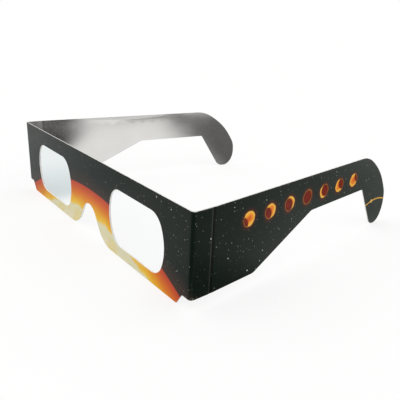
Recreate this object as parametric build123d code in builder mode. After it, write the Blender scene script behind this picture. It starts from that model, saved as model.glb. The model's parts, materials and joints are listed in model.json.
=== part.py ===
from build123d import *
import os
from math import cos, radians, sin, tan

os.makedirs("parts", exist_ok=True)

# Paper eclipse glasses. X runs across the front, Y from the printed face towards the ears, Z up.
# The wearer looks along -Y, so the wearer's left side is at +X.
# Lengths are in millimetres, angles in degrees.

# Sheet stock
card_thickness = 0.4
film_thickness = 0.1
foil_thickness = 0.05

# Front panel
front_width = 146.0
card_height = 35.0
step_height = 4.5
step_inset = 4.7
step_run = 3.1
cut_corner_radius = 0.8

# Nose notch
notch_height = 13.7
notch_top_radius = 6.3
notch_flank_angle = 57.8
notch_flare_radius = 12.0

# Eye windows, as the card left round them
bridge_width = 36.5
window_side_margin = 15.6
window_top_margin = 7.2
window_bottom_margin = 4.5
window_bow = 4.5
window_corner_radius = 7.3

# Backing card, glue and filter films behind the front card
backing_inset = 2.5
backing_window_margin = 0.4
film_margin = 2.2
film_corner_radius = 3.0
glue_inset = 0.6
film_pocket_clearance = 0.2

# Creases: each fold turns on a round bead at the card's inner face
crease_clearance = 0.08
foil_crease_margin = 0.2
strip_length = 7.8
cut_overrun = 1.0

# Arms, measured along the card from the second crease
arm_length = 118.5
arm_root_length = 21.6
arm_slope_run = 33.7
arm_slope_radius = 4.0
band_height = 14.8
crown_reach = 27.2
heel_height = 9.0
heel_reach = 6.8
tip_flat = 0.8
tip_radius = 5.5
hook_front_angle = 57.6
hook_root_radius = 1.0
# Places on the crown curve, as shares of its reach along the arm and of its drop
crown_shares = [(0.452, 0.165), (0.755, 0.440), (0.935, 0.710)]

# Folds at rest, in degrees from the panel before: at the corner and at the second crease
left_corner_angle = 93.0
left_arm_angle = 3.9
right_corner_angle = 94.0
right_arm_angle = 5.7
quarter_angle = 90
sides = ("left", "right")

# Places that follow from the sizes above
crease_radius = card_thickness
crease_half_span = front_width / 2 - crease_radius
band_bottom = card_height - band_height
window_width = (front_width - bridge_width) / 2 - window_side_margin
window_height = card_height - window_top_margin - window_bottom_margin
window_centre_x = (bridge_width + window_width) / 2
window_centre_z = window_bottom_margin + window_height / 2


def hand(side):
    """Which way a side lies along X."""
    return 1 if side == "left" else -1


def corner_fold(side):
    """Fold of a corner strip from the flat blank."""
    return left_corner_angle if side == "left" else right_corner_angle


def arm_fold(side):
    """Fold of an arm from the flat blank, through both creases."""
    return corner_fold(side) + (left_arm_angle if side == "left" else right_arm_angle)


def arm_rear(side):
    """Distance from the printed face back to the rearmost edge of one arm."""
    corner_turn = radians(corner_fold(side))
    arm_turn = radians(arm_fold(side))
    crease_reach = strip_length * sin(corner_turn)
    arm_reach = arm_length * sin(arm_turn)
    skin_reach = card_thickness * max(0, -cos(arm_turn))
    return card_thickness + crease_reach + arm_reach + skin_reach


overall_depth = max(arm_rear(side) for side in sides)
front_face_y = -overall_depth / 2


def layer_plane(depth):
    """Upright plane that lies behind the printed face by depth, seen from the front."""
    return Plane(origin=(0, front_face_y + depth, 0), x_dir=(1, 0, 0), z_dir=(0, -1, 0))


def corner_crease(side):
    """Foot of the fold line where the front meets the corner strip."""
    return Vector(hand(side) * crease_half_span, front_face_y + card_thickness, 0)


def heading(side, fold):
    """Direction in which a panel runs when it is folded by that angle from the flat blank."""
    return Vector(hand(side) * cos(radians(fold)), sin(radians(fold)), 0)


def arm_crease(side):
    """Foot of the fold line where the corner strip meets the arm."""
    return corner_crease(side) + heading(side, corner_fold(side)) * strip_length


def inner_face(side, foot, fold):
    """Plane of a folded panel's inner face, with its X along the card and its Y up."""
    along = heading(side, fold)
    return Plane(origin=foot, x_dir=along, z_dir=along.cross(Vector(0, 0, 1)))


def panel_outline(half_width):
    """Front panel: straight top, stepped lower corners and the nose notch."""
    flank = radians(notch_flank_angle)
    top_drop = notch_top_radius * (1 - cos(flank))
    flank_x = notch_top_radius * sin(flank)
    flank_z = notch_height - top_drop
    apex_z = flank_z + flank_x * tan(flank)
    foot_x = flank_x + flank_z / tan(flank)
    shelf_x = front_width / 2 - step_inset
    right_half = [
        (foot_x, 0, notch_flare_radius),
        (shelf_x - step_run, 0, cut_corner_radius),
        (shelf_x, step_height, cut_corner_radius),
        (half_width, step_height, 0),
        (half_width, card_height, 0),
    ]
    left_half = [(-x, z, radius) for x, z, radius in reversed(right_half)]
    corners = [(0, apex_z, notch_top_radius)] + right_half + left_half
    with BuildSketch() as outline:
        with BuildLine():
            FilletPolyline(
                [(x, z) for x, z, radius in corners],
                radius=[radius for x, z, radius in corners],
                close=True,
            )
        make_face()
    return outline.sketch


def window_outline(margin):
    """Eye window about its own centre: flat top and bottom, bowed sides, round corners."""
    half_width = window_width / 2 - window_bow + margin
    half_height = window_height / 2 + margin
    with BuildSketch() as outline:
        with BuildLine():
            Line((-half_width, half_height), (half_width, half_height))
            SagittaArc((half_width, half_height), (half_width, -half_height), window_bow)
            Line((half_width, -half_height), (-half_width, -half_height))
            SagittaArc((-half_width, -half_height), (-half_width, half_height), window_bow)
        make_face()
        fillet(outline.vertices(), radius=window_corner_radius + margin)
    return outline.sketch


def film_outline(margin):
    """Filter film about its own centre: a plain cut rectangle with blunted corners."""
    width = window_width + 2 * (film_margin + margin)
    height = window_height + 2 * (film_margin + margin)
    with BuildSketch() as outline:
        RectangleRounded(width, height, film_corner_radius + margin)
    return outline.sketch


def strip_outline():
    """Corner strip between the two creases of one side."""
    with BuildSketch() as outline:
        with Locations((0, step_height)):
            Rectangle(strip_length, card_height - step_height, align=(Align.MIN, Align.MIN))
    return outline.sketch


def arm_outline():
    """Arm: a deep root, a slope up to the narrow band, and the hook behind the ear."""
    crown_start = arm_length - crown_reach
    crown_drop = card_height - heel_height
    crown = [
        (crown_start + crown_reach * along, card_height - crown_drop * down)
        for along, down in crown_shares
    ]
    tip_turn = radians(hook_front_angle)
    tip_start = arm_length - heel_reach
    tip_corner = tip_start - tip_flat - tip_radius * tan(tip_turn / 2)
    hook_root = tip_corner - band_bottom / tan(tip_turn)
    slope_end = arm_root_length + arm_slope_run
    with BuildSketch() as outline:
        with BuildLine():
            Spline(
                (crown_start, card_height),
                *crown,
                (arm_length, heel_height),
                tangents=((1, 0), (0, -1)),
            )
            EllipticalCenterArc(
                (tip_start, heel_height), heel_reach, heel_height, arc_size=-quarter_angle
            )
            FilletPolyline(
                (tip_start, 0),
                (tip_corner, 0),
                (hook_root, band_bottom),
                (slope_end, band_bottom),
                (arm_root_length, step_height),
                (0, step_height),
                (0, card_height),
                (crown_start, card_height),
                radius=[tip_radius, hook_root_radius, arm_slope_radius, arm_slope_radius, 0, 0],
            )
        make_face()
    return outline.sketch


def crease_bead(foot):
    """Round bead along a fold line, as tall as the strip beside it."""
    with BuildPart() as bead:
        with Locations(foot + Vector(0, 0, step_height)):
            Cylinder(
                crease_radius,
                card_height - step_height,
                align=(Align.CENTER, Align.CENTER, Align.MIN),
            )
    return bead.part


def crease_hollow(foot, margin):
    """Round space about a fold line that a panel's edge is cut back to."""
    with BuildPart() as hollow:
        with Locations(foot - Vector(0, 0, cut_overrun)):
            Cylinder(
                crease_radius + crease_clearance + margin,
                card_height + 2 * cut_overrun,
                align=(Align.CENTER, Align.CENTER, Align.MIN),
            )
    return hollow.part


def save(piece, name):
    piece.label = name
    export_step(piece, f"parts/{name}.step")


# Front card, with a fold bead at each end
window_places = [(hand(side) * window_centre_x, window_centre_z) for side in sides]
with BuildPart() as front_card:
    with BuildSketch(layer_plane(0)):
        add(panel_outline(crease_half_span))
        with Locations(*window_places):
            add(window_outline(0), mode=Mode.SUBTRACT)
    extrude(amount=-card_thickness)
    for side in sides:
        add(crease_bead(corner_crease(side)))
save(front_card.part, "front_card")

# Glue layer, which leaves a pocket round each film
glue_depth = card_thickness
backing_half_width = crease_half_span - backing_inset
with BuildPart() as glue_layer:
    with BuildSketch(layer_plane(glue_depth)):
        add(panel_outline(backing_half_width))
        offset(amount=-glue_inset, mode=Mode.REPLACE)
        with Locations(*window_places):
            add(film_outline(film_pocket_clearance), mode=Mode.SUBTRACT)
    extrude(amount=-film_thickness)
save(glue_layer.part, "glue_layer")

# Filter films, one behind each window
for side in sides:
    with BuildPart() as filter_film:
        with BuildSketch(layer_plane(glue_depth)):
            with Locations((hand(side) * window_centre_x, window_centre_z)):
                add(film_outline(0))
        extrude(amount=-film_thickness)
    save(filter_film.part, f"{side}_filter_film")

# Backing card
backing_depth = glue_depth + film_thickness
with BuildPart() as backing_card:
    with BuildSketch(layer_plane(backing_depth)):
        add(panel_outline(backing_half_width))
        with Locations(*window_places):
            add(window_outline(backing_window_margin), mode=Mode.SUBTRACT)
    extrude(amount=-card_thickness)
save(backing_card.part, "backing_card")

# Foil on the backing card's inner face
with BuildPart() as backing_foil:
    with BuildSketch(layer_plane(backing_depth + card_thickness)):
        add(panel_outline(backing_half_width))
        with Locations(*window_places):
            add(window_outline(backing_window_margin), mode=Mode.SUBTRACT)
    extrude(amount=-foil_thickness)
save(backing_foil.part, "backing_foil")

for side in sides:
    outward = hand(side)
    corner_foot = corner_crease(side)
    arm_foot = arm_crease(side)
    strip_face = inner_face(side, corner_foot, corner_fold(side))
    arm_face = inner_face(side, arm_foot, arm_fold(side))

    # Corner strip: hollow edge on the front's bead, its own bead at the second crease
    with BuildPart() as corner_strip:
        with BuildSketch(strip_face):
            add(strip_outline())
        extrude(amount=outward * card_thickness)
        add(crease_hollow(corner_foot, 0), mode=Mode.SUBTRACT)
        add(crease_bead(arm_foot))
    save(corner_strip.part, f"{side}_corner_strip")

    # Foil on the corner strip
    with BuildPart() as corner_foil:
        with BuildSketch(strip_face):
            add(strip_outline())
        extrude(amount=-outward * foil_thickness)
        for foot in (corner_foot, arm_foot):
            add(crease_hollow(foot, foil_crease_margin), mode=Mode.SUBTRACT)
    save(corner_foil.part, f"{side}_corner_foil")

    # Arm with its ear hook
    with BuildPart() as arm:
        with BuildSketch(arm_face):
            add(arm_outline())
        extrude(amount=outward * card_thickness)
        add(crease_hollow(arm_foot, 0), mode=Mode.SUBTRACT)
    save(arm.part, f"{side}_arm")

    # Foil on the arm
    with BuildPart() as arm_foil:
        with BuildSketch(arm_face):
            add(arm_outline())
        extrude(amount=-outward * foil_thickness)
        add(crease_hollow(arm_foot, foil_crease_margin), mode=Mode.SUBTRACT)
    save(arm_foil.part, f"{side}_arm_foil")
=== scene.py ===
"""Paper eclipse glasses: a printed card blank folded at four creases, foil inside, film in the windows.

Sheets are laid out in millimetres on the flat blank: the distance along the card from the middle of
the front, the height, and the depth behind the printed face. Each side then folds that layout round
its creases.
"""
import json
from math import copysign, cos, inf, radians, sin, tan

import bmesh
import bpy
from mathutils import Matrix, Vector, noise
from mathutils.geometry import delaunay_2d_cdt


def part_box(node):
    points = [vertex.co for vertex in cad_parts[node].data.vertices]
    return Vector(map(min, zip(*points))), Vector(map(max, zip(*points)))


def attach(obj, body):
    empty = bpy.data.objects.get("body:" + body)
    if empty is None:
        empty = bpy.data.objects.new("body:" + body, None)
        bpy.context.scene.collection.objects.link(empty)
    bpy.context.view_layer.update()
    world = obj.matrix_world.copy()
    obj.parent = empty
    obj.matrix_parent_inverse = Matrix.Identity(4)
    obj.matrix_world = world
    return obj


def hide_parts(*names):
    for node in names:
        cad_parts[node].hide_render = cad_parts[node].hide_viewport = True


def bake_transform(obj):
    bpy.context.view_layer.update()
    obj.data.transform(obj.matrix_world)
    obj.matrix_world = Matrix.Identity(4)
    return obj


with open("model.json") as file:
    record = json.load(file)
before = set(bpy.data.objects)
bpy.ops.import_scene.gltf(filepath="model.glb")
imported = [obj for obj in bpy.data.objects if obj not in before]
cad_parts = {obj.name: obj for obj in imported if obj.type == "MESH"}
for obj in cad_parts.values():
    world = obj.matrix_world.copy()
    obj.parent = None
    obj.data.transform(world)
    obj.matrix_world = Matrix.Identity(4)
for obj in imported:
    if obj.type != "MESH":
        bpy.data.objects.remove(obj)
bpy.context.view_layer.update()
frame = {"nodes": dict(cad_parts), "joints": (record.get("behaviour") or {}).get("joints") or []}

MM = 0.001
joints = {joint["name"]: joint for joint in frame["joints"]}

# Sizes of the blank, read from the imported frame
printed_face_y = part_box("front_card")[0].y / MM
card_thickness = joints["left_corner_crease"]["pos_m"][1] / MM - printed_face_y
strip_foot, strip_top = (corner.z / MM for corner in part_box("left_corner_strip"))
foil_thickness = (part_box("backing_foil")[1].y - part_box("backing_foil")[0].y) / MM

# Folds
bend_radii = {"left": 1.35, "right": 0.9}
bend_columns = 12
crease_columns = (-1.1, -0.75, -0.5, -0.25, 0.0, 0.25, 0.5, 0.75, 1.1)
crease_blend_reach = 0.6
score_depth = 0.2
score_half_width = 0.75
seam_clearance = 1.2
backing_inset = 0.35

# Sheet meshes
card_grid = 3.0
film_grid = 1.3
row_spacing = 2.6
edge_clear_share = 0.55
column_clear_share = 0.5
rim_round = 0.1
rim_share = 0.25
edge_gap_limit = 1.0
sharp_angle = radians(32)
same_place = 0.01

# Slight waves of the arms' card and of the films, outwards
arm_wave = 0.3
arm_wave_length = 38.0
arm_flat_margin = 2.0
arm_wave_rise = 14.0
arm_wave_seed = 7.3
film_wave = 0.07
film_wave_length = 11.0
film_wave_height_share = 0.6
film_flat_margin = 2.6
film_wave_seed = 3.1


def srgb(red, green, blue):
    """A colour given in 0 to 255, as the linear colour that the nodes use."""
    channels = (value / 255 for value in (red, green, blue))
    return [c / 12.92 if c <= 0.04045 else ((c + 0.055) / 1.055) ** 2.4 for c in channels] + [1.0]


def clamped(value):
    """The value, held between 0 and 1."""
    return min(1.0, max(0.0, value))


class Side:
    """One side of the folded blank, seen from above."""

    def __init__(self, name):
        corner = joints[f"{name}_corner_crease"]
        crease = joints[f"{name}_arm_crease"]
        self.name = name
        self.hand = 1 if name == "left" else -1
        self.corner_foot = Vector(corner["pos_m"][:2]) / MM
        self.crease_foot = Vector(crease["pos_m"][:2]) / MM
        self.corner_fold = -radians(corner["range_deg"][0])
        self.arm_fold = self.corner_fold - radians(crease["range_deg"][0])
        self.bend_radius = bend_radii[name]
        self.bend_reach = (self.bend_radius - card_thickness) * tan(self.corner_fold / 2)
        self.bend_start = abs(self.corner_foot.x) - self.bend_reach
        self.bend_end = self.bend_start + self.bend_radius * self.corner_fold
        strip_length = (self.crease_foot - self.corner_foot).length
        self.crease = self.bend_end + strip_length - self.bend_reach
        self.seam = self.crease - strip_length / 2

    def heading(self, fold):
        """The direction along the card after a fold."""
        return Vector((self.hand * cos(fold), sin(fold)))

    def outward(self, fold):
        """The direction out of the printed face after a fold."""
        return Vector((self.hand * sin(fold), -cos(fold)))

    def line(self, along):
        """The point of the printed face that far along the card, and the direction outwards there."""
        if along < self.bend_start:
            return Vector((self.hand * along, printed_face_y)), self.outward(0)
        if along < self.bend_end:
            fold = (along - self.bend_start) / self.bend_radius
            centre = Vector((self.hand * self.bend_start, printed_face_y + self.bend_radius))
            return centre + self.outward(fold) * self.bend_radius, self.outward(fold)
        if along < self.crease:
            fold, foot, reach = self.corner_fold, self.corner_foot, along - self.bend_end + self.bend_reach
        else:
            fold, foot, reach = self.arm_fold, self.crease_foot, along - self.crease
        return foot + self.heading(fold) * reach + self.outward(fold) * card_thickness, self.outward(fold)

    def score(self, along, depth):
        """How deep the score line is pressed into the printed face. It fades through the card."""
        nearness = max(0.0, 1 - abs(along - self.crease) / score_half_width)
        return nearness * score_depth * max(0.0, 1 - depth / card_thickness)

    def wave(self, along, height):
        """How far the card of the arm stands out in its slight waves."""
        settled = clamped((along - self.crease - arm_flat_margin) / arm_wave_rise)
        spot = Vector((along / arm_wave_length, height / arm_wave_length, self.hand * arm_wave_seed))
        return noise.noise(spot) * arm_wave * settled * settled * (3 - 2 * settled)

    def place(self, along, height, depth):
        """The place of a point of the layout, in metres."""
        point, outward = self.line(along)
        point = point + outward * (self.wave(along, height) - self.score(along, depth) - depth)
        return Vector((point.x, point.y, height)) * MM


sides = [Side("left"), Side("right")]
front_seam = min(side.bend_start for side in sides) - seam_clearance

# Both sides are rubbed, and carry their painted shade and painted highlight, at the left side's folds. The
# right side's lie within half a millimetre of them
wear_and_shade_corner, wear_and_shade_crease = sides[0].bend_start, sides[0].crease


def place_front(along, height, depth):
    """The place of a point of the layout that lies in the front, in metres."""
    return Vector((along, printed_face_y + depth, height)) * MM


def runs(loop):
    """The straight runs of a closed loop, as pairs of neighbours."""
    return zip(loop, loop[1:] + loop[:1])


def turns(loop):
    """Each point of a closed loop, between its two neighbours."""
    return zip(loop[-1:] + loop[:-1], loop, loop[1:] + loop[:1])


def signed_area(loop):
    """Area of a loop, below zero where it runs clockwise."""
    return sum(a[0] * b[1] - b[0] * a[1] for a, b in runs(loop)) / 2


def on_seam(start, end, seams):
    """Whether a run lies on a seam, where another sheet carries on."""
    return start[0] == end[0] and start[0] in seams


def face_loops(node, origin, along, outward):
    """Outlines of a node's flat outer face as (distance along, height), the material on their left."""
    same_plane = 0.005
    nearly_straight = 0.0008
    decimals = 3
    mesh = frame["nodes"][node].data
    places = [vertex.co / MM - origin for vertex in mesh.vertices]
    spots = [(round(place.dot(along), decimals), round(place.z, decimals)) for place in places]
    edges = set()
    for polygon in mesh.polygons:
        if any(abs(places[i].dot(outward)) > same_plane for i in polygon.vertices):
            continue
        for start, end in runs([spots[i] for i in polygon.vertices]):
            if (end, start) in edges:
                edges.remove((end, start))
            elif start != end:
                edges.add((start, end))
    follow = dict(sorted(edges))
    loops = []
    while follow:
        start = min(follow)
        loop, here = [start], follow.pop(start)
        while here != start:
            loop.append(here)
            here = follow.pop(here)
        kept = [
            here
            for before, here, after in turns(loop)
            if abs(signed_area([before, here, after])) > nearly_straight
        ]
        loops.append(kept)
    loops.sort(key=lambda loop: -abs(signed_area(loop)))
    return [loop if (signed_area(loop) > 0) == (i == 0) else loop[::-1] for i, loop in enumerate(loops)]


def front_loops(node):
    """Outlines of a sheet that lies flat in the front."""
    face_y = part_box(node)[0].y / MM
    return face_loops(node, Vector((0, face_y, 0)), Vector((1, 0, 0)), Vector((0, -1, 0)))


def arm_loops(side):
    """Outline of one arm, drawn out at its root to the seam in the middle of the corner strip."""
    outward = side.outward(side.arm_fold).to_3d()
    origin = side.crease_foot.to_3d() + outward * card_thickness
    loops = face_loops(f"{side.name}_arm", origin, side.heading(side.arm_fold).to_3d(), outward)
    root = min(along for along, height in loops[0])

    def from_middle(along):
        return side.seam if along < root + same_place else side.crease + along

    return [[(from_middle(along), height) for along, height in loop] for loop in loops]


def corner_loops(side):
    """Outline of the stretch from the front round the corner to the middle of the strip."""
    return [[
        (front_seam, strip_foot),
        (side.seam, strip_foot),
        (side.seam, strip_top),
        (front_seam, strip_top),
    ]]


def cut_edges(loop, seams, columns):
    """The loop with points added where it crosses the columns, and in rows along its seams."""
    cut = []
    for start, end in runs(loop):
        cut.append(start)
        shares = []
        if on_seam(start, end, seams):
            count = max(1, round(abs(end[1] - start[1]) / row_spacing))
            shares = [i / count for i in range(1, count)]
        elif start[0] != end[0]:
            shares = sorted((column - start[0]) / (end[0] - start[0]) for column in columns)
        for share in shares:
            if 0 < share < 1:
                cut.append(tuple(a + (b - a) * share for a, b in zip(start, end)))
    return cut


def drawn_in(loop, distance, seams):
    """The loop moved into its material by a distance, except at the seams."""
    nearly_parallel = 0.02
    moved = []
    for before, here, after in turns(loop):
        pushes = []
        for start, end in ((before, here), (here, after)):
            run = Vector(end) - Vector(start)
            inward = Vector((-run.y, run.x)).normalized()
            pushes.append((inward, 0 if on_seam(start, end, seams) else distance))
        (first, near), (second, far) = pushes
        cross = first.x * second.y - first.y * second.x
        if abs(cross) < nearly_parallel:
            push = (first + second).normalized() * near
        else:
            push = Vector((near * second.y - far * first.y, far * first.x - near * second.x)) / cross
        moved.append((here[0] + push.x, here[1] + push.y))
    return moved


def inside(spot, loops):
    """Whether a spot lies in the material that the loops bound."""
    crossings = 0
    for loop in loops:
        for (x0, y0), (x1, y1) in runs(loop):
            level_with = (y0 > spot[1]) != (y1 > spot[1])
            if level_with and spot[0] < x0 + (spot[1] - y0) / (y1 - y0) * (x1 - x0):
                crossings += 1
    return crossings % 2 == 1


def edge_gap(spot, loops, seams):
    """Distance from a spot to the nearest cut edge."""
    nearest = inf
    here = Vector(spot)
    for loop in loops:
        for start, end in runs(loop):
            if on_seam(start, end, seams):
                continue
            run, reach = Vector(end) - Vector(start), here - Vector(start)
            share = clamped(reach.dot(run) / run.length_squared)
            nearest = min(nearest, (reach - run * share).length)
    return nearest


def fill(loops, columns, grid):
    """Spots and triangles over a flat layout, and where each point of the loops is among the spots."""
    same_column = 0.0005
    merged_within = 1e-5
    spots = [spot for loop in loops for spot in loop]
    edges = []
    for loop in loops:
        first = spots.index(loop[0])
        edges += [(first + i, first + (i + 1) % len(loop)) for i in range(len(loop))]
    lowest, highest = (pick(height for along, height in loops[0]) for pick in (min, max))
    nearest, farthest = (pick(along for along, height in loops[0]) for pick in (min, max))
    staggered = [
        (nearest + i * grid, lowest + (j + (i % 2) / 2) * grid)
        for i in range(1, int((farthest - nearest) / grid) + 1)
        for j in range(int((highest - lowest) / grid) + 1)
    ]
    spots += [
        spot
        for spot in staggered
        if inside(spot, loops)
        and edge_gap(spot, loops, ()) > grid * edge_clear_share
        and all(abs(spot[0] - column) > grid * column_clear_share for column in columns)
    ]
    for column in columns:
        ends = [i for i, spot in enumerate(spots) if abs(spot[0] - column) < same_column]
        ends.sort(key=lambda i: spots[i][1])
        foot, top = spots[ends[0]][1], spots[ends[-1]][1]
        count = round((top - foot) / row_spacing)
        rise = (top - foot) / count
        chain = [ends[0], *range(len(spots), len(spots) + count - 1), ends[-1]]
        spots += [(column, foot + rise * i) for i in range(1, count)]
        edges += list(zip(chain, chain[1:]))
    points = [Vector(spot) for spot in spots]
    flat, _, triangles, sources, _, _ = delaunay_2d_cdt(points, edges, [], 0, merged_within)
    moved_to = {old: new for new, olds in enumerate(sources) for old in olds}
    kept = [t for t in triangles if inside(sum((flat[i] for i in t), Vector((0, 0))) / 3, loops)]
    return [tuple(spot) for spot in flat], kept, moved_to


def closed_layout(loops, depth, thickness, seams, columns, grid):
    """Points, faces and edge gaps of a closed sheet over an outline, with rounded cut edges.

    A point is (spot, depth). A face comes with its finish: 0 outside, 1 on the cut edge, 2 inside.
    """
    rim = min(rim_round, thickness * rim_share)
    depths, rim_depths = (depth, depth + thickness), (depth + rim, depth + thickness - rim)
    loops = [cut_edges(loop, seams, columns) for loop in loops]
    flat_loops = [drawn_in(loop, rim, seams) for loop in loops]
    flat, triangles, moved_to = fill(flat_loops, columns, grid)
    layout = [(spot, d) for d in depths for spot in flat]
    faces = [(t, 0) for t in triangles] + [([i + len(flat) for i in t[::-1]], 2) for t in triangles]
    gaps = [edge_gap(spot, loops, seams) for spot in flat] * 2
    first = 0
    for loop in loops:
        count = len(loop)
        base = len(layout)
        layout += [(spot, d) for d in rim_depths for spot in loop]
        gaps += [0.0] * (2 * count)
        outer = [moved_to[first + i] for i in range(count)]
        outer_rim = list(range(base, base + count))
        inner_rim = list(range(base + count, base + 2 * count))
        inner = [i + len(flat) for i in outer]
        rings = (outer, outer_rim, inner_rim, inner)
        for finish, (near, far) in enumerate(zip(rings, rings[1:])):
            faces += [([a, b, d, c], finish) for (a, b), (c, d) in zip(runs(near), runs(far))]
        first += count
    return layout, faces, gaps


def sheet(name, loops, place, depth, thickness, finishes, seams=(), columns=(), grid=card_grid, hand=1):
    """A sheet of card, foil, film or glue, with a finish for its outer face, cut edge and inner face."""
    layout, faces, gaps = closed_layout(loops, depth, thickness, seams, columns, grid)
    mesh = bpy.data.meshes.new(name)
    mesh.from_pydata([place(*spot, d) for spot, d in layout], [], [face for face, _ in faces])
    mesh.polygons.foreach_set("material_index", [finish for _, finish in faces])
    blank = mesh.attributes.new("blank", "FLOAT_VECTOR", "POINT")
    points = [(hand * along, height, d) for (along, height), d in layout]
    blank.data.foreach_set("vector", [c for point in points for c in point])
    gap = mesh.attributes.new("edge_gap", "FLOAT", "POINT")
    gap.data.foreach_set("value", [min(edge_gap_limit, g) for g in gaps])
    shape = bmesh.new()
    shape.from_mesh(mesh)
    bmesh.ops.recalc_face_normals(shape, faces=shape.faces)
    shape.to_mesh(mesh)
    shape.free()
    mesh.polygons.foreach_set("use_smooth", [True] * len(mesh.polygons))
    mesh.set_sharp_from_angle(angle=sharp_angle)
    for finish in finishes:
        mesh.materials.append(finish)
    piece = bpy.data.objects.new(name, mesh)
    bpy.context.scene.collection.objects.link(piece)
    return piece


class Nodes:
    """A node tree, with short ways to wire it."""

    def __init__(self, tree):
        self.tree = tree

    def node(self, kind, inputs, **settings):
        """A new node. Each of its inputs is a fixed value or another node's output."""
        made = self.tree.nodes.new("ShaderNode" + kind)
        for key, value in settings.items():
            setattr(made, key, value)
        for key, value in inputs.items():
            self.feed(made.inputs[key], value)
        return made

    def feed(self, socket, value):
        if isinstance(value, bpy.types.NodeSocket):
            self.tree.links.new(value, socket)
        else:
            socket.default_value = value

    def attribute(self, name, output):
        return self.node("Attribute", {}, attribute_name=name).outputs[output]

    def split(self, vector):
        return self.node("SeparateXYZ", {0: vector}).outputs

    def math(self, operation, *values):
        return self.node("Math", dict(enumerate(values)), operation=operation).outputs[0]

    def product(self, first, *others):
        for other in others:
            first = self.math("MULTIPLY", first, other)
        return first

    def off(self, value, centre):
        """How far the value is from a centre, either way."""
        return self.math("ABSOLUTE", self.math("SUBTRACT", value, centre))

    def varied(self, share, low, high):
        """The low value at 0, the high one at 1."""
        return self.math("ADD", low, self.math("MULTIPLY", share, high - low))

    def step(self, value, start, end):
        """0 at start, 1 at end, smooth between."""
        inputs = {"Value": value, "From Min": start, "From Max": end}
        return self.node("MapRange", inputs, interpolation_type="SMOOTHSTEP").outputs[0]

    def band(self, value, rise, fall):
        """1 from the end of the rise to the start of the fall, smooth down to 0 outside."""
        return self.product(self.step(value, *rise), self.step(value, fall[1], fall[0]))

    def mix(self, factor, below, above):
        made = self.node("Mix", {}, data_type="RGBA")
        for index, value in ((0, factor), (6, below), (7, above)):
            self.feed(made.inputs[index], value)
        return made.outputs[2]

    def ramp(self, value, stops):
        """Colours along a value, given as (value, colour) stops."""
        start, end = stops[0][0], stops[-1][0]
        share = self.math("DIVIDE", self.math("SUBTRACT", value, start), end - start)
        made = self.node("ValToRGB", {"Fac": share})
        elements = made.color_ramp.elements
        while len(elements) < len(stops):
            elements.new(1.0)
        for element, (at, colour) in zip(elements, stops):
            element.position = (at - start) / (end - start)
            element.color = colour
        return made.outputs["Color"]

    def noise(self, vector, size, detail=2.0):
        inputs = {"Vector": vector, "Scale": 1 / size, "Detail": detail}
        return self.node("TexNoise", inputs).outputs[0]

    def distance(self, along, height, centre_along, centre_height):
        """Distance in the layout from a centre."""
        here = self.node("CombineXYZ", {0: along, 1: height}).outputs[0]
        centre = self.node("CombineXYZ", {0: centre_along, 1: centre_height}).outputs[0]
        return self.node("VectorMath", {0: here, 1: centre}, operation="DISTANCE").outputs["Value"]


class Finish(Nodes):
    """A material. Its fixed values go on the shader's own sockets."""

    def __init__(self, name, **fixed):
        self.material = bpy.data.materials.new(name)
        self.material.use_nodes = True
        super().__init__(self.material.node_tree)
        self.shader = self.tree.nodes["Principled BSDF"]
        for socket, value in fixed.items():
            self.shader.inputs[socket.replace("_", " ")].default_value = value

    def surface(self, socket, value):
        self.feed(self.shader.inputs[socket], value)

    def bump(self, height, strength, depth):
        inputs = {"Height": height, "Strength": strength, "Distance": depth * MM}
        self.surface("Normal", self.node("Bump", inputs).outputs[0])


def add_stars(finish, colour, blank, cell, largest, rarity, brightness):
    """Scatters small pale dots, at most one to a cell. A higher rarity leaves fewer of them large."""
    core_share = 0.35
    starlight = srgb(232, 228, 214)
    cells = finish.node("TexVoronoi", {"Vector": blank, "Scale": 1 / cell}, voronoi_dimensions="2D")
    chance = finish.node("SeparateColor", {0: cells.outputs["Color"]}).outputs
    radius = finish.product(finish.math("POWER", chance[0], rarity), largest / cell)
    dot = finish.step(cells.outputs["Distance"], radius, finish.product(radius, core_share))
    glow = finish.product(finish.math("POWER", chance[1], rarity / 2), brightness)
    return finish.mix(finish.product(dot, glow), colour, starlight)


def add_sun_limb(finish, colour, blank, from_middle, height):
    """The glowing edge of a large sun across the foot of the front, with a red haze above it."""
    sun_radius = 141.0
    sun_drop = 120.4
    edge = (-0.3, 0.3)
    cloud_size = 13.0
    churn_reach = 7.0
    churned = (1.0, 10.0)
    golden_stretch = (11.6, 15.0)
    golden_clouds = (0.0, 0.1)
    golden_share = 0.4
    gold = srgb(214, 192, 92)
    haze_reach = 8.0
    haze_rise = (0.0, 9.0)
    haze_share = 0.6
    red_haze = srgb(68, 42, 34)
    glow_stops = (
        (0.0, srgb(178, 57, 32)),
        (2.2, srgb(193, 78, 22)),
        (5.0, srgb(209, 112, 8)),
        (8.4, srgb(221, 158, 10)),
        (10.9, srgb(226, 184, 50)),
        (12.2, srgb(212, 208, 176)),
        (14.5, srgb(213, 207, 170)),
        (17.0, srgb(220, 211, 178)),
        (21.0, srgb(221, 211, 150)),
    )
    inward = finish.math("SUBTRACT", sun_radius, finish.distance(from_middle, height, 0.0, -sun_drop))
    clouds = finish.math("SUBTRACT", finish.noise(blank, cloud_size, detail=3.0), 0.5)
    churn = finish.product(clouds, churn_reach, finish.step(inward, *churned))
    stirred = finish.math("ADD", inward, churn)
    golden = finish.product(finish.step(stirred, *golden_stretch), finish.step(clouds, *golden_clouds))
    glow = finish.mix(finish.product(golden, golden_share), finish.ramp(stirred, glow_stops), gold)
    haze_line = finish.math("ADD", haze_reach, finish.product(clouds, haze_reach))
    haze = finish.step(finish.math("ADD", inward, haze_line), *haze_rise)
    colour = finish.mix(finish.product(haze, haze_share), colour, red_haze)
    return finish.mix(finish.step(inward, *edge), colour, glow)


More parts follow.
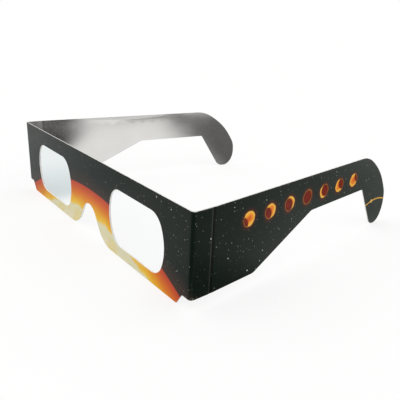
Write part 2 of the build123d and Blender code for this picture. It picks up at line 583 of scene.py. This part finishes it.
def add_phases(finish, colour, blank, from_middle, height):
    """A level row of eclipse phases along each arm, partial at both ends and total in the middle."""
    count = 7
    spacing = 11.4
    row_start = 92.0
    row_height = 26.6
    radius = 2.8
    softness = 0.22
    moon_softness = 0.55
    moon_step = 1.25
    moon_turn = radians(28)
    ragged_size, ragged_reach = 2.2, 0.9
    mottle_size, mottle_reach = 1.6, 1.6
    halo_reach, halo_overlap = 1.9, 0.6
    halo_share = 0.5
    halo_red = srgb(112, 34, 18)
    moon_dark, moon_light = srgb(50, 10, 6), srgb(150, 42, 20)
    fire_stops = (
        (0.6, srgb(204, 76, 28)),
        (2.3, srgb(230, 132, 38)),
        (3.4, srgb(246, 190, 72)),
        (4.4, srgb(250, 222, 136)),
    )
    index = finish.math("DIVIDE", finish.math("SUBTRACT", from_middle, row_start), spacing)
    index = finish.math("FLOOR", index)
    in_row = finish.band(index, rise=(-0.6, -0.4), fall=(count - 0.6, count - 0.4))
    centre = finish.math("ADD", finish.product(index, spacing), row_start + spacing / 2)
    across = finish.math("SUBTRACT", from_middle, centre)
    upward = finish.math("SUBTRACT", height, row_height)
    mottle = finish.noise(blank, mottle_size, detail=3.0)
    ragged = finish.math("SUBTRACT", finish.noise(blank, ragged_size), 0.5)
    reach = finish.distance(across, upward, 0.0, 0.0)
    reach = finish.math("ADD", reach, finish.product(ragged, ragged_reach))
    moon_shift = finish.product(finish.math("SUBTRACT", index, (count - 1) / 2), moon_step)
    moon_across = finish.product(moon_shift, cos(moon_turn))
    moon_upward = finish.product(moon_shift, sin(moon_turn))
    moon_reach = finish.distance(across, upward, moon_across, moon_upward)
    sun = finish.step(reach, radius + softness, radius - softness)
    moon = finish.step(moon_reach, radius + moon_softness, radius - softness)
    halo = finish.step(reach, radius + halo_reach, radius - halo_overlap)
    fire = finish.ramp(finish.math("ADD", reach, finish.product(mottle, mottle_reach)), fire_stops)
    colour = finish.mix(finish.product(halo, in_row, halo_share), colour, halo_red)
    colour = finish.mix(finish.product(sun, in_row), colour, fire)
    covered = finish.mix(mottle, moon_dark, moon_light)
    return finish.mix(finish.product(moon, sun, in_row), colour, covered)


def add_orbit(finish, colour, from_middle, height):
    """A thin gold orbit across the hook, with a small planet on it."""
    orbit_along, orbit_height, orbit_radius = 190.0, -14.0, 26.5
    line_edge = (0.432, 0.162)
    hook_stretch = (174.0, 176.0)
    planet_along, planet_height = 186.5, 12.3
    planet_edge = (1.0, 0.7)
    line_gold, planet_gold = srgb(224, 170, 74), srgb(234, 186, 98)
    from_centre = finish.distance(from_middle, height, orbit_along, orbit_height)
    line = finish.step(finish.off(from_centre, orbit_radius), *line_edge)
    colour = finish.mix(finish.product(line, finish.step(from_middle, *hook_stretch)), colour, line_gold)
    from_planet = finish.distance(from_middle, height, planet_along, planet_height)
    return finish.mix(finish.step(from_planet, *planet_edge), colour, planet_gold)


def add_score_shade(finish, colour, from_crease):
    """Painted shade on the rear slope of the score line: the ink there is drawn darker, as shade in the
    groove.
    """
    slope_at = 0.3
    slope_edge = (0.5, 0.2)
    score_shade_share = 0.8
    score_shade_ink = srgb(4, 6, 4)
    score_shade = finish.step(finish.off(from_crease, slope_at), *slope_edge)
    return finish.mix(finish.product(score_shade, score_shade_share), colour, score_shade_ink)


def print_wear_and_highlight(finish, blank, from_middle, height, from_crease):
    """How far the print is rubbed off: at cut edges, at the front's lower corners and on the crease. On
    the crease's front slope the rubbed line also serves as a painted highlight.
    """
    edge_fade, edge_fibres = (0.16, 0.02), (0.5, 0.62)
    corner_along = wear_and_shade_corner + 1.6
    corner_fade, corner_fibres = (1.3, 0.4), (0.54, 0.62)
    rubbed_highlight_at = -0.42
    rubbed_highlight_fade, rubbed_highlight_fibres = (0.4, 0.1), (0.2, 0.55)
    rubbed_highlight_share = 0.035
    fibre = finish.noise(blank, size=0.35, detail=3.0)
    edge = finish.step(finish.attribute("edge_gap", "Fac"), *edge_fade)
    edge = finish.product(edge, finish.step(fibre, *edge_fibres))
    corner = finish.step(finish.distance(from_middle, height, corner_along, strip_foot), *corner_fade)
    corner = finish.product(corner, finish.step(fibre, *corner_fibres))
    # Rubbed print along the score's front slope, which also stands as a painted highlight.
    rubbed_highlight = finish.step(finish.off(from_crease, rubbed_highlight_at), *rubbed_highlight_fade)
    rubbed_highlight = finish.product(rubbed_highlight, finish.step(fibre, *rubbed_highlight_fibres), rubbed_highlight_share)
    return finish.math("MAXIMUM", finish.math("MAXIMUM", edge, corner), rubbed_highlight)


def printed_finish():
    """Satin print on card: near-black ink lightened towards the hooks by a painted sheen, with its motifs,
    its rubbed spots, painted shade on the score and a painted highlight beside it.
    """
    sheen_start, sheen_length = 62.0, 133.0
    sheen_curve = 1.6
    wear_roughness = 0.3
    deep_ink, light_ink, sheen_ink = srgb(3, 14, 8), srgb(9, 25, 16), srgb(63, 68, 63)
    bare_card = srgb(206, 200, 188)
    star_layers = (
        {"cell": 1.5, "largest": 0.24, "rarity": 3.0, "brightness": 0.5},
        {"cell": 4.1, "largest": 0.28, "rarity": 3.0, "brightness": 0.75},
        {"cell": 9.0, "largest": 0.42, "rarity": 1.6, "brightness": 1.0},
    )
    finish = Finish("printed_card", Specular_IOR_Level=0.095)
    blank = finish.attribute("blank", "Vector")
    along, height, _ = finish.split(blank)
    from_middle = finish.math("ABSOLUTE", along)
    from_crease = finish.math("SUBTRACT", from_middle, wear_and_shade_crease)
    colour = finish.mix(finish.noise(blank, size=30.0, detail=3.0), deep_ink, light_ink)
    # Painted sheen: the ink is drawn lighter towards the hooks, where the satin print would catch more
    # reflection.
    beyond_front = finish.math("DIVIDE", finish.math("SUBTRACT", from_middle, sheen_start), sheen_length)
    painted_sheen = finish.math("POWER", finish.math("MAXIMUM", beyond_front, 0.0), sheen_curve)
    colour = finish.mix(painted_sheen, colour, sheen_ink)
    for layer in star_layers:
        colour = add_stars(finish, colour, blank, **layer)
    colour = add_sun_limb(finish, colour, blank, from_middle, height)
    colour = add_phases(finish, colour, blank, from_middle, height)
    colour = add_orbit(finish, colour, from_middle, height)
    # Painted shade in the groove of the score line.
    colour = add_score_shade(finish, colour, from_crease)
    wear_and_highlight = print_wear_and_highlight(finish, blank, from_middle, height, from_crease)
    finish.surface("Base Color", finish.mix(wear_and_highlight, colour, bare_card))
    rough = finish.varied(finish.noise(blank, size=5.0), low=0.26, high=0.36)
    finish.surface("Roughness", finish.math("ADD", rough, finish.product(wear_and_highlight, wear_roughness)))
    finish.bump(finish.noise(blank, size=0.5, detail=3.0), strength=0.25, depth=0.02)
    return finish.material


def core_finish():
    """Bare card, at the cut edges and on the inner faces: off-white fibres."""
    dark_fibre, light_fibre = srgb(232, 231, 227), srgb(252, 251, 249)
    finish = Finish("card_core", Specular_IOR_Level=0.3)
    fibre = finish.noise(finish.attribute("blank", "Vector"), size=0.22, detail=4.0)
    finish.surface("Base Color", finish.mix(fibre, dark_fibre, light_fibre))
    finish.surface("Roughness", finish.varied(fibre, low=0.7, high=0.9))
    finish.bump(fibre, strength=0.6, depth=0.04)
    return finish.material


def foil_finish():
    """Metallised paper: silver with smudges, darkened between the folds by painted shade and cracked along
    the second one.
    """
    fold_shade_rise = (wear_and_shade_corner - 1.0, wear_and_shade_corner + 1.0)
    fold_shade_fall = (wear_and_shade_crease, wear_and_shade_crease + 1.4)
    fold_shade_share = 0.6
    crack_fade, crack_grain = (0.6, 0.15), (0.3, 0.6)
    crack_share = 0.5
    crack_roughness = 0.2
    dark_silver, light_silver = srgb(214, 213, 210), srgb(232, 231, 229)
    fold_shaded_silver, cracked_silver = srgb(134, 132, 128), srgb(96, 94, 90)
    finish = Finish("silver_foil", Metallic=1.0)
    blank = finish.attribute("blank", "Vector")
    smudge = finish.noise(blank, size=16.0, detail=3.0)
    grain = finish.noise(blank, size=0.4, detail=3.0)
    from_middle = finish.math("ABSOLUTE", finish.split(blank)[0])
    fold_shade = finish.band(from_middle, fold_shade_rise, fold_shade_fall)
    cracks = finish.step(finish.off(from_middle, wear_and_shade_crease), *crack_fade)
    cracks = finish.product(cracks, finish.step(grain, *crack_grain))
    colour = finish.mix(smudge, dark_silver, light_silver)
    # Painted shade: the silver is darkened between the folds.
    colour = finish.mix(finish.product(fold_shade, fold_shade_share), colour, fold_shaded_silver)
    colour = finish.mix(finish.product(cracks, crack_share), colour, cracked_silver)
    finish.surface("Base Color", colour)
    rough = finish.varied(smudge, low=0.09, high=0.19)
    finish.surface("Roughness", finish.math("ADD", rough, finish.product(cracks, crack_roughness)))
    finish.bump(grain, strength=0.2, depth=0.015)
    return finish.material


def film_finish():
    """Aluminised film: a clear mirror with a faint bluish cast and weak rainbow bands."""
    wander_reach = 16.0
    band_slant = 0.2
    clear_share = 0.6
    clear_mirror = srgb(254, 255, 255)
    band_stops = (
        (-2.0, srgb(246, 250, 251)),
        (0.0, srgb(250, 245, 249)),
        (2.0, srgb(251, 250, 243)),
        (4.0, srgb(243, 250, 250)),
        (6.5, srgb(248, 246, 251)),
        (10.0, srgb(248, 251, 253)),
    )
    finish = Finish("filter_film", Metallic=1.0)
    blank = finish.attribute("blank", "Vector")
    along, height, _ = finish.split(blank)
    wander = finish.product(finish.noise(blank, size=18.0, detail=1.0), wander_reach)
    across_bands = finish.math("ADD", height, wander)
    across_bands = finish.math("ADD", across_bands, finish.product(along, band_slant))
    bands = finish.ramp(across_bands, band_stops)
    finish.surface("Base Color", finish.mix(clear_share, bands, clear_mirror))
    finish.surface("Roughness", finish.varied(finish.noise(blank, size=6.0), low=0.04, high=0.09))
    return finish.material


def glue_finish():
    """Dried glue: pale, slightly yellow and uneven."""
    thick_glue, thin_glue = srgb(226, 218, 196), srgb(240, 236, 222)
    finish = Finish("glue", Specular_IOR_Level=0.5)
    patch = finish.noise(finish.attribute("blank", "Vector"), size=2.5, detail=3.0)
    finish.surface("Base Color", finish.mix(patch, thick_glue, thin_glue))
    finish.surface("Roughness", finish.varied(patch, low=0.35, high=0.65))
    finish.bump(patch, strength=0.4, depth=0.05)
    return finish.material


printed = printed_finish()
core = core_finish()
foil = foil_finish()
film = film_finish()
glue = glue_finish()


def stands_for(node, slot):
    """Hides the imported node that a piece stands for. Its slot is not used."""
    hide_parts(node)


def layer_depths(node):
    """Depth of a front layer behind the printed face, and its thickness."""
    low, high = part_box(node)
    return low.y / MM - printed_face_y, (high.y - low.y) / MM


def make_front():
    """The front's layers: printed card, glue, backing card and its foil."""
    seams = (-front_seam, front_seam)
    end = max(along for along, height in front_loops("front_card")[0])

    def to_seam(along):
        return copysign(front_seam, along) if abs(along) > end - same_place else along

    outlines = [[(to_seam(along), height) for along, height in loop] for loop in front_loops("front_card")]
    card = sheet("printed_front", outlines, place_front, 0.0, card_thickness, (printed, core, core), seams)
    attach(card, "front")
    stands_for("front_card", "printed_card")
    layers = (
        ("front_glue", "glue_layer", "glue", glue),
        ("backing_panel", "backing_card", "white_card", core),
        ("backing_foil_sheet", "backing_foil", "silver_foil", foil),
    )
    for name, node, slot, finish in layers:
        loops = [drawn_in(loop, backing_inset, ()) for loop in front_loops(node)]
        layer = sheet(name, loops, place_front, *layer_depths(node), [finish] * 3)
        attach(layer, "front")
        stands_for(node, slot)


def make_film(side):
    """A filter film, flat where it is held and slightly rippled in the window."""
    node = f"{side.name}_filter_film"
    low, high = (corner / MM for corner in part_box(node))
    seed = Vector((0, 0, side.hand * film_wave_seed))

    def place(along, height, depth):
        from_edge = min(along - low.x, high.x - along, height - low.z, high.z - height)
        settled = clamped((from_edge - film_flat_margin) / film_flat_margin)
        spot = Vector((along, height * film_wave_height_share, 0)) / film_wave_length + seed
        return place_front(along, height, depth + noise.noise(spot) * film_wave * settled)

    name = f"{side.name}_mirror_film"
    piece = sheet(name, front_loops(node), place, *layer_depths(node), [film] * 3, grid=film_grid)
    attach(piece, "front")
    stands_for(node, "filter_film")


def make_stretch(side, part, card_node, loops, seams, columns):
    """Card and foil of a stretch that turns round its folds."""
    layers = (
        ("card", card_node, "printed_card", 0.0, card_thickness, (printed, core, core)),
        ("foil_sheet", f"{part}_foil", "silver_foil", card_thickness, foil_thickness, [foil] * 3),
    )
    for layer, node, slot, depth, thickness, finishes in layers:
        name = f"{side.name}_{part}_{layer}"
        piece = sheet(name, loops, side.place, depth, thickness, finishes, seams, columns, hand=side.hand)
        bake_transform(piece)
        stands_for(f"{side.name}_{node}", slot)


def make_corner(side):
    """The rounded corner and the first half of the strip."""
    step = (side.bend_end - side.bend_start) / bend_columns
    columns = [side.bend_start + step * i for i in range(bend_columns + 1)]
    bend = [side.line(along)[0] for along in (side.bend_start, side.bend_end)]
    seams = (front_seam, side.seam)
    make_stretch(side, "corner", "corner_strip", corner_loops(side), seams, columns)


def make_arm(side):
    """The second half of the strip, the second crease and the arm."""
    columns = [side.crease + column for column in crease_columns]
    reach = side.heading(side.corner_fold) * crease_blend_reach
    make_stretch(side, "arm", "arm", arm_loops(side), (side.seam,), columns)


def reflected_dimming(finish, across, back):
    """How dim the floor is in reflections, in five places that stand for dark surroundings.

    The edges of the places are in millimetres from the middle of the glasses.
    """
    slant_at, slant, slant_rise = 30, 3.0, (6, 50)
    hooks_at, hooks_slant, hooks_rise = 43, 0.1, (-18, 26)
    slanted = finish.product(finish.math("ADD", back, slant_at), slant)
    slanted = finish.step(finish.math("SUBTRACT", across, slanted), *slant_rise)
    by_hooks = finish.math("ADD", hooks_at, finish.product(across, hooks_slant))
    by_hooks = finish.step(finish.math("SUBTRACT", back, by_hooks), *hooks_rise)
    inside_front = finish.band(back, rise=(-64, -60), fall=(-40, -6))
    inside_near_end = finish.product(inside_front, slanted, finish.step(across, start=82, end=74))
    by_near_strip = finish.product(inside_front, finish.band(across, rise=(60, 70), fall=(90, 114)))
    behind_hooks = finish.product(by_hooks, finish.step(across, start=125, end=100))
    behind_hooks = finish.product(behind_hooks, finish.step(back, start=200, end=160))
    before_front = finish.band(back, rise=(-170, -150), fall=(-80, -64))
    before_near_corner = finish.product(finish.band(across, rise=(34, 80), fall=(150, 170)), before_front)
    along_arm = finish.band(back, rise=(-24, 0), fall=(120, 140))
    beside_near_arm = finish.product(along_arm, finish.step(across, start=74, end=94))
    places = (
        (inside_near_end, 0.96),
        (by_near_strip, 0.78),
        (behind_hooks, 0.87),
        (before_near_corner, 0.8),
        (beside_near_arm, 0.32),
    )
    dimming = 0.0
    for place, share in places:
        dimming = finish.math("MAXIMUM", dimming, finish.product(place, share))
    return dimming


def reflected_coolness(finish, across, back):
    """How blue the floor is in reflections, in one place before the far side of the front."""
    fading_share = 0.5
    before_front = finish.step(back, start=-50, end=-66)
    far_side = finish.band(across, rise=(-170, -140), fall=(-56, -36))
    fading = finish.product(finish.step(across, start=-60, end=-120), fading_share)
    return finish.product(before_front, far_side, finish.math("SUBTRACT", 1.0, fading))


def floor_finish():
    """A pale floor, lifted to white for the camera and in reflections, with part of its shadow kept."""
    shadow_share = 0.24
    black, white = srgb(0, 0, 0), srgb(255, 255, 255)
    pale_grey, paler_grey = srgb(243, 243, 242), srgb(246, 246, 245)
    dim_grey, cool_white = srgb(20, 19, 18), srgb(207, 217, 218)
    finish = Finish("floor", Roughness=1.0, Specular_IOR_Level=0.0)
    position = finish.node("NewGeometry", {}).outputs["Position"]
    place = finish.node("VectorMath", {0: position, "Scale": 1 / MM}, operation="SCALE").outputs[0]
    across, back, _ = finish.split(place)
    path = finish.node("LightPath", {}).outputs
    seen = finish.math("MAXIMUM", path["Is Camera Ray"], path["Is Glossy Ray"])
    dimmed = finish.product(reflected_dimming(finish, across, back), path["Is Glossy Ray"])
    cool = finish.product(reflected_coolness(finish, across, back), path["Is Glossy Ray"])
    pale = finish.mix(finish.noise(place, size=300.0), pale_grey, paler_grey)
    thin = finish.mix(1 - shadow_share, pale, black)
    finish.surface("Base Color", finish.mix(dimmed, finish.mix(seen, pale, thin), dim_grey))
    finish.surface("Emission Color", finish.mix(cool, white, cool_white))
    lift = finish.product(seen, finish.math("SUBTRACT", 1.0, dimmed))
    finish.surface("Emission Strength", finish.product(lift, 1 - shadow_share))
    return finish.material


def make_floor():
    """A plain floor under the glasses, much wider than they are."""
    half = 4000.0 * MM
    corners = ((-half, -half, 0), (half, -half, 0), (half, half, 0), (-half, half, 0))
    mesh = bpy.data.meshes.new("floor")
    mesh.from_pydata(corners, [], [(0, 1, 2, 3)])
    mesh.materials.append(floor_finish())
    floor = bpy.data.objects.new("floor", mesh)
    bpy.context.scene.collection.objects.link(floor)


def make_world(fill_strength):
    """White surroundings for the camera and in reflections, and an even fill light on all else."""
    world = bpy.data.worlds.new("studio")
    world.use_nodes = True
    bpy.context.scene.world = world
    nodes = Nodes(world.node_tree)
    background = world.node_tree.nodes["Background"].inputs
    path = nodes.node("LightPath", {}).outputs
    seen = nodes.math("MAXIMUM", path["Is Camera Ray"], path["Is Glossy Ray"])
    seen = nodes.math("MAXIMUM", seen, path["Is Transmission Ray"])
    nodes.feed(background["Color"], srgb(255, 255, 255))
    nodes.feed(background["Strength"], nodes.varied(seen, low=fill_strength, high=1.0))


def make_lamp(name, azimuth, elevation, strength, spread):
    """A broad, even studio light far away. Azimuth 0 shines from -Y, 90 from +X."""
    lamp = bpy.data.lights.new(name, "SUN")
    lamp.energy = strength
    lamp.angle = radians(spread)
    holder = bpy.data.objects.new(name, lamp)
    a, e = radians(azimuth), radians(elevation)
    towards_lamp = Vector((sin(a) * cos(e), -cos(a) * cos(e), sin(e)))
    holder.rotation_mode = "QUATERNION"
    holder.rotation_quaternion = towards_lamp.to_track_quat("Z", "Y")
    bpy.context.scene.collection.objects.link(holder)


def make_camera():
    """The photograph's viewpoint, in the frame of the model."""
    eye = Vector((178.847, -143.240, 88.723)) * MM
    yaw, pitch, roll = radians(52.073), radians(20.490), radians(2.467)
    lens = 43.777
    nearest_seen = 10.0 * MM
    level = Vector((cos(yaw), sin(yaw), 0))
    forward = Vector((-sin(yaw) * cos(pitch), cos(yaw) * cos(pitch), -sin(pitch)))
    upright = level.cross(forward)
    right = level * cos(roll) + upright * sin(roll)
    up = upright * cos(roll) - level * sin(roll)
    camera = bpy.data.objects.new("camera", bpy.data.cameras.new("camera"))
    camera.data.lens = lens
    camera.data.clip_start = nearest_seen
    camera.matrix_world = Matrix.Translation(eye) @ Matrix((right, up, -forward)).transposed().to_4x4()
    bpy.context.scene.collection.objects.link(camera)
    bpy.context.scene.camera = camera


make_front()
for side in sides:
    make_film(side)
    make_corner(side)
    make_arm(side)
make_floor()
make_world(fill_strength=0.84)
make_lamp("key", azimuth=-25, elevation=55, strength=0.65, spread=70)
make_lamp("back", azimuth=150, elevation=60, strength=0.35, spread=70)
make_camera()
bpy.context.scene.view_settings.view_transform = "Standard"
